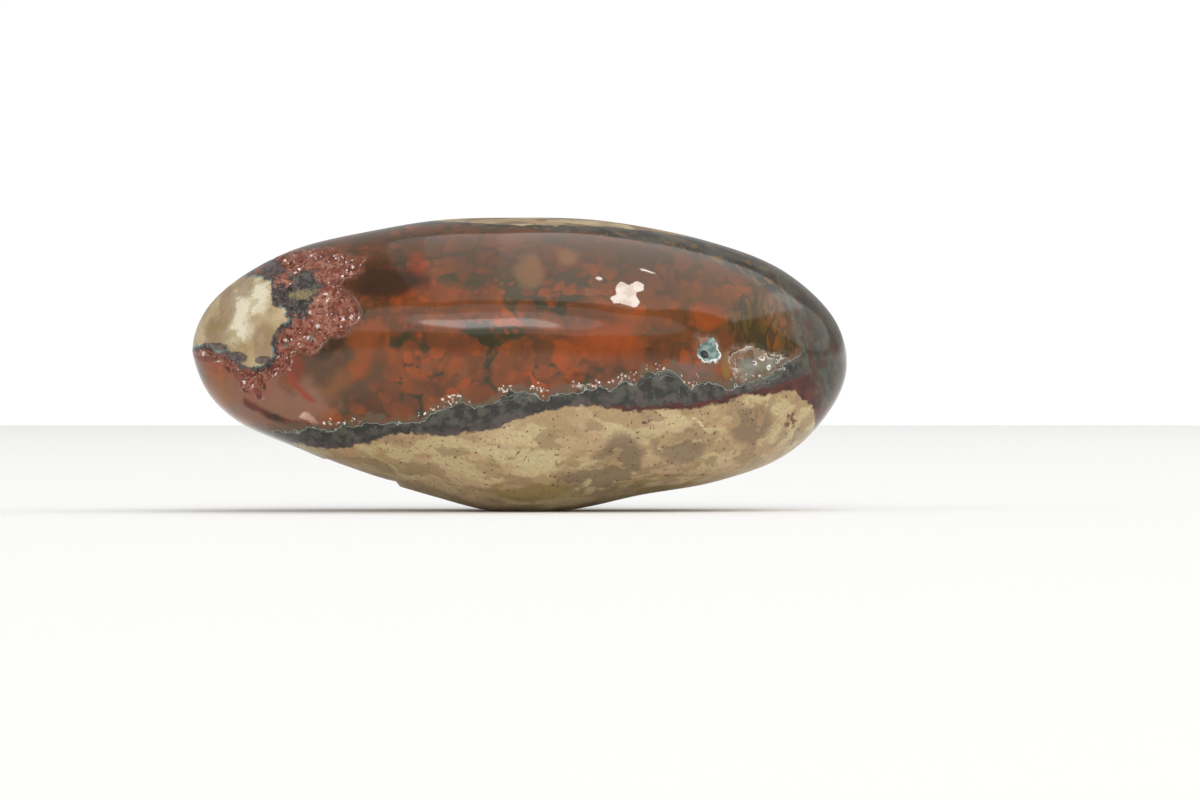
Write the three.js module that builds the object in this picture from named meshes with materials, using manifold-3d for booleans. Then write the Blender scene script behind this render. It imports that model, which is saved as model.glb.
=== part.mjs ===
// A polished fire opal, about 19 mm long, shaped like a plump bean and held together as one stone.
// An orange opal vein fills it, with a dark seam and tan rock under the vein. All of it is one piece.
// Its surface is smooth, apart from a frosted hollow near the left end, a few small crystal pockets,
// a chipped ledge under the left side and the small ground flat that it rests on.
// Millimetres, +Z up. The origin is on the resting plane, under the middle of the stone.
// The face with the frosted hollow looks along -Y.
import * as THREE from "three";
import { mergeVertices } from "three/addons/utils/BufferGeometryUtils.js";
import Module from "manifold-3d";

// Driving sizes of the stone
const length = 19.0;
const height = 8.5;
const halfDepth = 4.15; // from the middle to the front or to the back
const fullness = { top: 0.93, underside: 0.8 }; // 1 is an ellipsoid, and less is plumper

// The right end curves away to the back
const bend = { setBack: 0.9, start: -1 };

// The gentle unevenness that hand polishing leaves, in millimetres and in radians per millimetre
const wave = { height: 0.03, alongX: 0.9, alongZ: 0.7, acrossX: -0.5, acrossY: 0.8, offset: 1.1 };

// How finely the skin is divided
const outlineSteps = 112;
const depthSteps = 32;
const poleCrowding = 0.24; // rings lie closer together towards the middle of the front and of the back

// Outline seen from the front, as (x, z) shares of the half length and of the height.
// It starts at the left tip and runs over the top.
const outlineShares = [
  [-0.999, 0.56],
  [-0.962, 0.677],
  [-0.865, 0.786],
  [-0.679, 0.894],
  [-0.36, 0.975],
  [-0.06, 1.0],
  [0.273, 0.983],
  [0.568, 0.922],
  [0.812, 0.813],
  [0.964, 0.65],
  [1.0, 0.506],
  [0.967, 0.378],
  [0.821, 0.196],
  [0.601, 0.101],
  [0.346, 0.049],
  [0.19, 0.014],
  [0.04, -0.011],
  [-0.1, 0.002],
  [-0.26, 0.05],
  [-0.341, 0.076],
  [-0.425, 0.101],
  [-0.675, 0.211],
  [-0.859, 0.304],
  [-0.945, 0.392],
  [-0.986, 0.484],
];
const middleHeight = 0.5 * height;

// Under the left side a thin chip is gone. Its face is the skin turned up about a line near the tip.
const chip = {
  hingeX: -6.4,
  hingeZ: 2.0,
  turnDeg: 2.6,
  topZ: 1.5, // the chip reaches no higher than this
  // Seen from above, as (x, y): the ragged ledge from front to back, and then the far side
  outline: [
    [-4.3, -5],
    [-3.9, -2.7],
    [-3.35, -1.8],
    [-3.55, -0.9],
    [-3.38, 0.1],
    [-3.5, 0.8],
    [-3.1, 1.5],
    [-3.6, 2.4],
    [-4.6, 5],
    [-6.4, 5],
    [-6.4, -5],
  ],
};

// The frosted hollow beside the left end, seen from the front, as (x, z) points
const hollow = {
  depth: 0.2,
  grain: 0.05, // how uneven its floor is
  finer: 5, // how much finer than the polished skin's unevenness
  outline: [
    [-7.05, 7.2],
    [-6.35, 7.3],
    [-5.2, 7.45],
    [-4.55, 7.15],
    [-5.05, 6.65],
    [-4.5, 5.8],
    [-4.85, 5.1],
    [-5.5, 4.9],
    [-5.9, 4.5],
    [-6.5, 4.5],
    [-6.7, 3.9],
    [-7.45, 3.75],
    [-8.1, 3.95],
    [-7.05, 4.25],
    [-6.9, 5.0],
    [-6.6, 5.5],
    [-7.05, 6.35],
  ],
};

// Tiny six-sided crystal points stand all over the hollow's floor
const crystals = {
  count: 54,
  radius: [0.09, 0.18], // the smallest and the largest, in millimetres
  tallness: 1.4, // height over radius
  rise: 0.3, // share of the height by which a crystal's middle stands over the floor
  lean: 0.45,
  seed: 7,
};

// Crystal pockets along the top of the dark seam: x, z, width, depth under the skin
const pockets = [
  [5.4, 4.62, 0.62, 0.24],
  [6.3, 4.4, 0.75, 0.26],
  [6.75, 4.45, 0.6, 0.22],
  [7.55, 4.3, 0.5, 0.2],
  [1.64, 3.78, 0.5, 0.18],
];
const pocketDetail = 1; // how finely a pocket is rounded
const pocketTurn = 0.8; // radians that each pocket is turned on from the one before it

const wasm = await Module();
wasm.setup();

// A closed curve through the outline's points, in the plane y = 0.
function outlineCurve() {
  const points = outlineShares.map(
    ([alongX, alongZ]) => new THREE.Vector3((alongX * length) / 2, 0, alongZ * height),
  );
  return new THREE.CatmullRomCurve3(points, true, "centripetal");
}

// How far the surface waves up or down at a point, from -1 to 1.
function ripple(x, y, z) {
  const along = Math.sin(wave.alongX * x + wave.alongZ * z);
  const across = Math.cos(wave.acrossX * x + wave.acrossY * y + wave.offset);
  return along * across;
}

// The skin at a point of the outline and an angle from the front, -90 degrees, to the back, 90.
// The hollow's floor lies deeper than the polished skin and is more uneven.
function skinPoint(rim, angle, { depth, grain, finer }) {
  const lowness = THREE.MathUtils.smoothstep(middleHeight - rim.z, 0, middleHeight);
  const plump = THREE.MathUtils.lerp(fullness.top, fullness.underside, lowness);
  const spread = Math.pow(Math.cos(angle), plump);
  const forward = Math.sign(Math.sin(angle)) * Math.pow(Math.abs(Math.sin(angle)), plump);
  const x = rim.x * spread;
  const z = middleHeight + (rim.z - middleHeight) * spread;
  const bent = Math.max(0, (x - bend.start) / (length / 2 - bend.start));
  const y = halfDepth * forward + bend.setBack * bent * bent;
  const out = wave.height * ripple(x, y, z) + grain * ripple(finer * x, finer * y, finer * z) - depth;
  const swell = 1 + out / halfDepth;
  return new THREE.Vector3(x, y * swell, middleHeight + (z - middleHeight) * swell);
}

// The whole rounded stone as one closed geometry, with a pole at the front and at the back.
function roundedStone(floor = { depth: 0, grain: 0, finer: 1 }) {
  const curve = outlineCurve();
  const rims = Array.from({ length: outlineSteps }, (_, i) => curve.getPoint(i / outlineSteps));
  const ring = (step) => {
    const share = (2 * step) / depthSteps - 1;
    const angle = (Math.PI / 2) * share * (1 + poleCrowding * (1 - share * share));
    return rims.map((rim) => skinPoint(rim, angle, floor));
  };
  const front = skinPoint(rims[0], -Math.PI / 2, floor);
  const back = skinPoint(rims[0], Math.PI / 2, floor);
  const corners = [];
  const triangle = (a, b, c) => corners.push(a, b, c);
  let before = ring(1);
  for (let i = 0; i < outlineSteps; i++) {
    triangle(front, before[(i + 1) % outlineSteps], before[i]);
  }
  for (let step = 2; step < depthSteps; step++) {
    const next = ring(step);
    for (let i = 0; i < outlineSteps; i++) {
      const j = (i + 1) % outlineSteps;
      triangle(before[i], next[j], next[i]);
      triangle(before[i], before[j], next[j]);
    }
    before = next;
  }
  for (let i = 0; i < outlineSteps; i++) {
    triangle(back, before[i], before[(i + 1) % outlineSteps]);
  }
  return new THREE.BufferGeometry().setFromPoints(corners);
}

// A three.js geometry as a solid that can be cut.
function solidOf(geometry) {
  const plain = geometry.clone();
  plain.deleteAttribute("normal");
  plain.deleteAttribute("uv");
  const merged = mergeVertices(plain, 1e-4);
  return new wasm.Manifold(
    new wasm.Mesh({
      numProp: 3,
      vertProperties: merged.attributes.position.array,
      triVerts: new Uint32Array(merged.index.array),
    }),
  );
}

function geometryOf(solid) {
  const { numProp, numVert, vertProperties, triVerts } = solid.getMesh();
  const positions = new Float32Array(numVert * 3);
  for (let i = 0; i < numVert; i++) {
    positions.set(vertProperties.subarray(i * numProp, i * numProp + 3), i * 3);
  }
  const geometry = new THREE.BufferGeometry();
  geometry.setAttribute("position", new THREE.BufferAttribute(positions, 3));
  geometry.setIndex(new THREE.BufferAttribute(new Uint32Array(triVerts), 1));
  geometry.computeVertexNormals();
  return geometry;
}

// Where a line along +Y first meets the stone at (x, z), with the outward normal there.
function frontSkin(stone, x, z) {
  const ray = new THREE.Raycaster(new THREE.Vector3(x, -length, z), new THREE.Vector3(0, 1, 0));
  const [hit] = ray.intersectObject(stone);
  return { point: hit.point, normal: hit.face.normal };
}

// A prism of a given depth over an outline.
function prism(outline, depth) {
  const shape = new THREE.Shape(outline.map(([across, up]) => new THREE.Vector2(across, up)));
  return new THREE.ExtrudeGeometry(shape, { depth, bevelEnabled: false });
}

// A blunt many-sided scoop that bites into the skin to a given depth over a given width.
function pocket(stone, [x, z, width, depth], turn) {
  const { point, normal } = frontSkin(stone, x, z);
  const halfWidth = width / 2;
  const radius = (halfWidth * halfWidth + depth * depth) / (2 * depth);
  const geometry = new THREE.IcosahedronGeometry(radius, pocketDetail);
  geometry.rotateX(turn);
  geometry.rotateY(2 * turn);
  const middle = point.clone().addScaledVector(normal, radius - depth);
  geometry.translate(middle.x, middle.y, middle.z);
  return solidOf(geometry);
}

// Steady random numbers from 0 to 1, the same in every build.
function randomFrom(seed) {
  let state = seed;
  return () => {
    state = (state * 16807) % 2147483647;
    return state / 2147483647;
  };
}

// Whether a point seen from the front lies inside an outline.
function isInside(outline, x, z) {
  let inside = false;
  outline.forEach(([x1, z1], i) => {
    const [x2, z2] = outline[(i + 1) % outline.length];
    if (z1 > z !== z2 > z && x < x1 + ((z - z1) * (x2 - x1)) / (z2 - z1)) inside = !inside;
  });
  return inside;
}

// The crystal points of the hollow as one solid, each leaning its own way.
function crystalPoints() {
  const floor = new THREE.Mesh(roundedStone(hollow));
  const box = new THREE.Box2().setFromPoints(hollow.outline.map(([x, z]) => new THREE.Vector2(x, z)));
  const random = randomFrom(crystals.seed);
  const between = (least, most) => least + (most - least) * random();
  const solids = [];
  while (solids.length < crystals.count) {
    const x = between(box.min.x, box.max.x);
    const z = between(box.min.y, box.max.y);
    if (!isInside(hollow.outline, x, z)) continue;
    const { point, normal } = frontSkin(floor, x, z);
    const radius = between(...crystals.radius);
    const height = radius * crystals.tallness;
    const lean = new THREE.Vector3(between(-1, 1), between(-1, 1), between(-1, 1));
    const axis = normal.clone().addScaledVector(lean, crystals.lean).normalize();
    const geometry = new THREE.ConeGeometry(radius, height, 6);
    geometry.applyQuaternion(new THREE.Quaternion().setFromUnitVectors(THREE.Object3D.DEFAULT_UP, axis));
    const middle = point.clone().addScaledVector(axis, crystals.rise * height);
    geometry.translate(middle.x, middle.y, middle.z);
    solids.push(solidOf(geometry));
  }
  return wasm.Manifold.union(solids);
}

// Everything under the resting plane.
function underFloor() {
  const geometry = new THREE.BoxGeometry(2 * length, 2 * length, height);
  geometry.translate(0, 0, -height / 2);
  return solidOf(geometry);
}

// What is missing under the left side: all that a prism holds below the turned-up skin.
function chippedAway(rounded) {
  const block = prism(chip.outline, 2 * chip.topZ);
  block.translate(0, 0, -chip.topZ);
  const face = rounded.clone();
  face.translate(-chip.hingeX, 0, -chip.hingeZ);
  face.rotateY(-THREE.MathUtils.degToRad(chip.turnDeg));
  face.translate(chip.hingeX, 0, chip.hingeZ);
  return solidOf(block).subtract(solidOf(face));
}

// What is missing at the frosted hollow: all that a prism holds in front of the hollow's floor.
function hollowedOut() {
  const block = prism(hollow.outline, length);
  block.rotateX(Math.PI / 2);
  return solidOf(block).subtract(solidOf(roundedStone(hollow)));
}

function fireOpal() {
  const rounded = roundedStone();
  const whole = new THREE.Mesh(rounded);
  let solid = solidOf(rounded);
  for (const missing of [chippedAway(rounded), hollowedOut(), underFloor()]) {
    solid = solid.subtract(missing);
  }
  solid = solid.add(crystalPoints());
  pockets.forEach((place, i) => {
    solid = solid.subtract(pocket(whole, place, pocketTurn * i));
  });
  const polished = new THREE.MeshStandardMaterial({
    name: "polished_fire_opal",
    color: 0x8f4526,
    roughness: 0.12,
    metalness: 0,
  });
  const geometry = geometryOf(solid);
  geometry.computeBoundingBox();
  const middle = geometry.boundingBox.getCenter(new THREE.Vector3());
  geometry.translate(-middle.x, -middle.y, 0);
  const stone = new THREE.Mesh(geometry, polished);
  stone.name = "fire_opal";
  return stone;
}

const part = new THREE.Group();
part.add(fireOpal());

export default part;
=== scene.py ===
import math
import random

import bpy
import numpy as np
from mathutils import Matrix, Vector


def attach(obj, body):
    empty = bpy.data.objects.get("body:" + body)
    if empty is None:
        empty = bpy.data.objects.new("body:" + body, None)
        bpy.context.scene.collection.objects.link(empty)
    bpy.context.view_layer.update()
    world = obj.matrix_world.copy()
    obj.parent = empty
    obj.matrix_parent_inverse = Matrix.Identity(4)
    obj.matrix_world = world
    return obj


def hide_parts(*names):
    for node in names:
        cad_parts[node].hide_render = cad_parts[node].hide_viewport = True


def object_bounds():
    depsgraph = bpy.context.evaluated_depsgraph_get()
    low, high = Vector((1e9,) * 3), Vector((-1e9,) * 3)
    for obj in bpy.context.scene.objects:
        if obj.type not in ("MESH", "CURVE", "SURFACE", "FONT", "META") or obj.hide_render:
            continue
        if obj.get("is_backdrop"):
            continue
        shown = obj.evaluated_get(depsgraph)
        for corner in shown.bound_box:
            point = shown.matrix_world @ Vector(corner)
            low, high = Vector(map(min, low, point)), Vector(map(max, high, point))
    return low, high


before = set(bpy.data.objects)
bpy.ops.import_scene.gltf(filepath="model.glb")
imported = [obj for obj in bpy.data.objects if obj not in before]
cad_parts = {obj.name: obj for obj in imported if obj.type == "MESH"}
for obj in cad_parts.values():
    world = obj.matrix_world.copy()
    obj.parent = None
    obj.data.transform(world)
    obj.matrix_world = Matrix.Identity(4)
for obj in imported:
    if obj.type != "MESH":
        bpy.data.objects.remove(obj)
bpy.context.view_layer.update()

# A polished fire opal, 19 mm long, with its dark seam, tan rock, cream patch and crystal hollow.
# Sizes are in millimetres up to the last step of each piece, and z = 0 is the floor.
mm = 0.001


def linearColour(hexText):  # an sRGB hex value as the linear colour that Blender works in
    channels = [int(hexText[i:i + 2], 16) / 255 for i in (1, 3, 5)]
    return [c / 12.92 if c <= 0.04045 else ((c + 0.055) / 1.055) ** 2.4 for c in channels] + [1.0]


def addNode(tree, kind, inputs=None, output=0, stops=None, **settings):
    node = tree.nodes.new(kind)
    for name, value in settings.items():
        setattr(node, name, value)
    for name, value in (inputs or {}).items():
        socket = node.inputs[name] if isinstance(name, int) else next(
            s for s in node.inputs if s.enabled and s.name == name)
        if isinstance(value, bpy.types.NodeSocket):
            tree.links.new(value, socket)
        elif isinstance(value, str):
            socket.default_value = linearColour(value)
        else:
            socket.default_value = value
    if stops:
        while len(node.color_ramp.elements) < len(stops):
            node.color_ramp.elements.new(1.0)
        for element, (place, colour) in zip(node.color_ramp.elements, stops):
            element.position = place
            element.color = linearColour(colour)
    outputs = [s for s in node.outputs if s.enabled and output in (0, s.name)]
    return outputs[0] if outputs else None


def newMaterial(name):
    material = bpy.data.materials.new(name)
    material.use_nodes = True
    material.node_tree.nodes.clear()
    return material, material.node_tree


def deselectAll():
    bpy.ops.object.select_all(action="DESELECT")
    bpy.context.view_layer.objects.active = None


# the camera looks level along +y, and its focal length and sensor are in its own millimetres
camera = dict(x=2.305, z=3.208, distance=192.9, lens=200, sensor=36, nearest=5)

cameraData = bpy.data.cameras.new("photo_camera")
cameraData.lens = camera["lens"]
cameraData.sensor_width = camera["sensor"]
cameraData.clip_start = camera["nearest"] * mm
cameraObject = bpy.data.objects.new("photo_camera", cameraData)
bpy.context.scene.collection.objects.link(cameraObject)
cameraObject.location = (camera["x"] * mm, -camera["distance"] * mm, camera["z"] * mm)
cameraObject.rotation_euler = (math.radians(90), 0, 0)
bpy.context.scene.camera = cameraObject
print("camera is set")


# the stone is a rounded bean, with a hollow, small pockets and a chipped ledge sunk in it
stone = dict(
    length=19.0, height=8.5, halfDepth=4.15,
    fullTop=0.93, fullUnderside=0.8,  # 1 is an ellipsoid, and less is plumper
    setBack=0.9, bendStart=-1.0,  # the right end curves away to the back
    waveHeight=0.03, waves=((0.9, 0.7), (-0.5, 0.8, 1.1)),
    segments=360, rings=256, rimSteps=2000,
    shrink=0.9985,  # keeps the skin just inside the solid's box
    # outline from the front, from the left tip over the top, in half lengths and heights
    outline=[
        (-0.999, 0.56), (-0.962, 0.677), (-0.865, 0.786), (-0.679, 0.894), (-0.36, 0.975), (-0.06, 1.0),
        (0.273, 0.983), (0.568, 0.922), (0.812, 0.813), (0.964, 0.65), (1.0, 0.506), (0.967, 0.378),
        (0.821, 0.196), (0.601, 0.101), (0.346, 0.049), (0.19, 0.014), (0.04, -0.011), (-0.1, 0.002),
        (-0.26, 0.05), (-0.341, 0.076), (-0.425, 0.101), (-0.675, 0.211), (-0.859, 0.304),
        (-0.945, 0.392), (-0.986, 0.484),
    ],
    # under the left side a thin chip is gone, up to a ragged ledge; seen from above, as (x, y)
    chipHinge=-6.4, chipTurn=2.6, chipTop=1.5, chipEdge=(-0.03, 0.03),
    chip=[
        (-4.3, -5), (-3.9, -2.7), (-3.35, -1.8), (-3.55, -0.9), (-3.38, 0.1), (-3.5, 0.8),
        (-3.1, 1.5), (-3.6, 2.4), (-4.6, 5), (-6.4, 5), (-6.4, -5),
    ],
    hollowDepth=0.2, hollowEdge=(-0.04, 0.2),
    # crystal pockets: x, z, width, depth under the skin
    pockets=[
        (5.4, 4.62, 0.62, 0.24), (6.3, 4.4, 0.75, 0.26), (6.75, 4.45, 0.6, 0.22),
        (7.55, 4.3, 0.5, 0.2), (1.64, 3.78, 0.5, 0.18),
    ],
    pocketsBack=1,  # they lie in front of this y
)

# What shows on the front, each as an outline of (x, z) points in millimetres
patches = dict(
    cream=[
        (-8.01, 6.73), (-7.46, 6.73), (-7.17, 6.59), (-7.06, 6.33), (-7.06, 5.98), (-6.8, 5.87),
        (-6.65, 5.52), (-6.94, 5.23), (-7.06, 4.86), (-7.06, 4.45), (-7.23, 4.28), (-7.67, 4.13),
        (-8.01, 4.19), (-8.1, 4.42), (-8.33, 4.65), (-8.62, 4.6), (-8.85, 4.8), (-9.11, 4.86),
        (-9.7, 4.77), (-9.9, 5.4), (-9.37, 6.3), (-8.82, 6.9), (-8.33, 7.3),
    ],
    creamLight=[
        (-8.07, 6.65), (-7.46, 6.71), (-7.17, 6.5), (-7.09, 6.1), (-7.29, 5.81), (-7.64, 5.58),
        (-7.46, 5.17), (-7.81, 4.88), (-8.24, 4.71), (-8.53, 4.88), (-8.62, 5.17), (-8.36, 5.58),
        (-8.33, 6.1),
    ],
    hollow=[
        (-7.15, 7.3), (-6.37, 7.5), (-5.27, 7.5), (-4.86, 7.2), (-4.46, 7.23), (-4.57, 6.85),
        (-5.15, 6.65), (-5.07, 6.33), (-4.75, 6.18), (-4.49, 5.75), (-4.57, 5.4), (-4.83, 5.32),
        (-4.92, 5.09), (-5.41, 5.03), (-5.59, 4.8), (-5.9, 4.48), (-6.28, 4.6), (-6.51, 4.48),
        (-6.65, 4.02), (-7.23, 3.76), (-7.41, 3.27), (-7.87, 3.5), (-8.16, 3.9), (-8.62, 4.31),
        (-9.11, 4.36), (-9.49, 4.6), (-9.11, 4.8), (-8.62, 4.54), (-8.1, 4.31), (-8.01, 4.08),
        (-7.46, 4.13), (-7.0, 4.36), (-7.0, 4.86), (-6.83, 5.29), (-6.63, 5.58), (-6.83, 5.92),
        (-7.06, 6.24), (-7.06, 6.62), (-6.89, 6.97),
    ],
    hollowDark=[
        (-6.65, 7.02), (-6.31, 7.08), (-5.85, 7.02), (-5.85, 6.76), (-5.59, 6.73), (-5.79, 6.39),
        (-6.02, 6.1), (-6.13, 5.64), (-6.42, 5.75), (-6.65, 5.58), (-6.83, 5.92), (-7.06, 6.18),
        (-7.06, 6.56), (-6.65, 6.56),
    ],
    hollowOlive=[
        (-6.71, 6.33), (-6.37, 6.45), (-5.96, 6.47), (-5.73, 6.62), (-5.85, 6.39), (-6.08, 6.16),
        (-6.31, 6.18),
    ],
    clearTop=[
        (-5.18, 6.68), (-4.92, 6.27), (-4.72, 6.13), (-4.28, 6.01), (-3.71, 5.98), (-3.24, 6.1),
        (-2.78, 6.33), (-2.61, 6.62), (-2.96, 6.91), (-3.48, 7.08), (-4.05, 7.2), (-4.46, 7.14),
        (-4.57, 6.79),
    ],
    clearMid=[
        (-6.02, 4.42), (-5.73, 4.65), (-5.44, 4.94), (-4.86, 5.06), (-4.28, 5.23), (-3.91, 5.0),
        (-4.28, 4.8), (-4.92, 4.74), (-5.27, 4.48), (-5.5, 4.31),
    ],
    vein=[
        (-6.71, 4.45), (-6.48, 4.6), (-6.22, 4.6), (-6.13, 4.31), (-6.2, 3.96), (-6.28, 3.75),
        (-6.45, 3.8), (-6.6, 4.02),
    ],
    veinCore=[
        (-6.63, 4.02), (-6.48, 3.96), (-6.28, 3.64), (-6.02, 3.35), (-5.85, 3.15), (-6.02, 3.21),
        (-6.37, 3.5), (-6.57, 3.73),
    ],
    # a small glassy chip, with its glint painted in pale pink and white
    paintedChipGlint=[
        (-6.28, 2.74), (-6.14, 2.86), (-5.98, 2.82), (-5.8, 2.66), (-5.66, 2.52), (-5.92, 2.5),
        (-6.06, 2.64),
    ],
    flameTall=[
        (-4.86, 5.0), (-4.46, 5.35), (-4.11, 5.46), (-3.94, 5.17), (-4.11, 4.8), (-4.11, 4.36),
        (-4.4, 3.9), (-4.75, 3.84), (-4.86, 4.13), (-4.69, 4.48), (-4.86, 4.65),
    ],
    flameLow=[
        (-5.5, 3.44), (-5.38, 3.9), (-5.15, 4.08), (-4.86, 3.96), (-4.92, 3.55), (-5.15, 3.27),
        (-5.44, 3.27),
    ],
    whiteSpot=[
        (2.88, 6.56), (3.0, 6.53), (3.14, 6.45), (3.35, 6.59), (3.55, 6.5), (3.55, 6.36), (3.35, 6.3),
        (3.32, 6.16), (3.43, 6.01), (3.35, 5.87), (3.11, 5.92), (2.88, 5.98), (2.71, 5.95),
        (2.62, 6.1), (2.65, 6.18), (2.8, 6.21), (2.74, 6.39),
    ],
    whiteStroke=[(3.42, 6.97), (3.62, 6.94), (3.92, 6.84), (3.88, 6.79), (3.6, 6.88), (3.44, 6.92)],
    whiteDot=[(2.18, 6.7), (2.3, 6.73), (2.4, 6.67), (2.34, 6.63), (2.2, 6.65)],
    agateLump=[
        (5.11, 5.06), (5.2, 4.94), (5.37, 4.91), (5.54, 4.94), (5.66, 4.77), (5.72, 4.6), (5.77, 4.36),
        (5.54, 4.31), (5.25, 4.19), (5.08, 4.42), (5.02, 4.6), (5.2, 4.71), (5.11, 4.88),
    ],
    agateFan=[
        (6.0, 4.48), (6.24, 4.65), (6.52, 4.83), (6.7, 4.71), (6.99, 4.65), (7.22, 4.48), (7.57, 4.54),
        (7.8, 4.31), (7.8, 4.02), (7.45, 3.96), (7.16, 3.84), (6.81, 3.67), (6.47, 3.61), (6.24, 3.67),
        (6.12, 3.96),
    ],
    darkEnd=[
        (7.68, 6.1), (7.8, 5.64), (7.85, 5.23), (7.97, 4.8), (8.09, 4.42), (8.17, 4.08), (8.43, 3.79),
        (8.55, 3.35), (8.78, 2.8), (10.5, 2.4), (10.5, 8.5), (6.6, 8.3), (7.07, 7.2), (7.45, 6.62),
    ],
    redStreak=[
        (-7.98, 3.15), (-7.64, 2.92), (-7.09, 2.63), (-6.37, 2.43), (-5.85, 2.43), (-5.5, 2.49),
        (-5.85, 2.6), (-6.48, 2.63), (-7.06, 2.83), (-7.58, 3.12), (-7.87, 3.27),
    ],
    rockCrack=[
        (4.9, 2.76), (5.02, 2.72), (5.2, 2.58), (5.34, 2.36), (5.24, 2.4), (5.1, 2.58), (4.92, 2.7),
    ],
)

# Soft-edged zones, each as ovals of (x, z, half width, half height)
zones = dict(
    merged=[(0.5, 4.3, 5.2, 1.5)],  # here the orange lumps grow into each other
    sparse=[  # and here the clear brown opal shows between them
        (-1.1, 5.05, 2.0, 0.35), (-3.3, 4.6, 0.7, 1.0), (0.5, 4.5, 0.8, 0.5), (2.2, 6.1, 1.6, 0.12),
        (6.6, 5.2, 0.6, 0.8), (-1.6, 6.6, 0.9, 0.3),
    ],
    bright=[(-2.6, 6.25, 1.3, 0.5), (2.3, 4.8, 1.2, 0.7), (5.4, 5.6, 0.6, 0.45)],
    ochre=[(6.9, 5.4, 1.1, 0.9), (7.5, 4.9, 0.8, 0.6)],
    # painted reflection: over the top of the opal a greyish brown stands for the dull veil and the dark
    # rim that its gloss reflects from above
    paintedUpperReflection=[(0.6, 7.6, 6.5, 1.0), (4.2, 7.1, 3.4, 0.8), (-5.5, 7.9, 3.0, 0.5)],
    rightWarm=[(5.6, 5.7, 2.6, 1.3)],
    tanSpot=[(0.28, 6.9, 0.5, 0.55), (1.4, 7.3, 0.4, 0.3)],
    redSpot=[(-2.9, 7.06, 0.4, 0.4)],
    clearLow=[(-5.1, 4.15, 1.6, 1.15)],
    smoky=[(-7.2, 2.9, 2.2, 1.1)],
    leftOrange=[(-8.6, 3.4, 0.55, 0.7)],
    pinkish=[(-7.6, 3.55, 0.9, 0.5)],
    agateHaze=[(4.9, 4.0, 0.8, 0.35)],
    ochreVein=[(5.92, 4.15, 0.16, 0.5)],
    lumpEdge=[(5.75, 4.5, 0.3, 0.4), (5.15, 4.3, 0.25, 0.2)],
    lumpSpot=[(5.34, 4.52, 0.15, 0.14)],
    lumpTip=[(5.2, 5.0, 0.22, 0.2)],
    ringSpot=[(7.3, 4.25, 0.6, 0.28)],
    quartzKnot=[(1.7, 3.76, 0.26, 0.22), (2.1, 3.72, 0.16, 0.14)],
    fanGreen=[(7.35, 4.15, 0.6, 0.35), (6.6, 4.1, 0.3, 0.4)],
    humps=[(4.2, 3.7, 1.1, 0.7), (6.9, 3.8, 0.7, 0.4), (-0.1, 3.3, 0.6, 0.4)],
    creamBrown=[
        (-7.9, 6.65, 0.3, 0.6), (-8.4, 5.9, 0.28, 0.7), (-8.7, 5.2, 0.4, 0.5), (-7.3, 4.9, 0.4, 0.6),
    ],
    darkCrust=[
        (-7.15, 7.05, 0.4, 0.3), (-6.9, 6.3, 0.22, 0.5), (-8.75, 4.72, 0.5, 0.16),
        (-8.05, 4.42, 0.35, 0.22), (-7.3, 4.35, 0.3, 0.14),
    ],
    # small white crystals stand in these places over the seam
    whiteQuartz=[
        (-2.4, 3.05, 1.0, 0.4), (-0.4, 3.5, 0.3, 0.2), (0.6, 3.5, 0.25, 0.2), (1.66, 3.76, 0.22, 0.22),
        (2.16, 3.7, 0.2, 0.18), (3.0, 3.85, 0.5, 0.2), (3.9, 4.14, 0.3, 0.2), (4.85, 3.8, 0.3, 0.25),
        (6.4, 3.86, 0.6, 0.15), (-5.1, 2.6, 0.6, 0.15),
    ],
    pinkBand=[(-3.0, 1.85, 1.8, 0.35)],
    orangeTan=[(-4.6, 1.5, 1.3, 0.5)],
    greyMottle=[
        (2.9, 1.55, 0.7, 0.8), (4.55, 1.9, 0.8, 0.6), (2.3, 0.9, 1.4, 0.45), (6.6, 2.5, 0.8, 0.6),
    ],
    creamStreak=[(-0.44, 1.47, 1.9, 0.5)],
    oliveRock=[(4.2, 0.8, 1.0, 0.4), (0.3, 0.6, 1.5, 0.3)],
    rightRock=[(7.2, 2.6, 1.6, 1.0)],
    maroonSpot=[(7.8, 2.6, 0.22, 0.3), (3.57, 2.57, 0.14, 0.06)],
)

# on the left the seam rests on the rock along this line, and on the right a maroon band parts them
seamFoot = [
    (-9.37, 1.71), (-8.1, 1.88), (-6.37, 1.94), (-5.5, 1.82), (-4.92, 1.85), (-4.2, 2.02),
    (-3.62, 2.23), (-2.9, 2.28), (-2.17, 2.17), (-1.45, 2.28), (-0.59, 2.4), (-0.15, 2.63),
    (0.57, 2.86), (1.44, 3.06),
]
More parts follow.
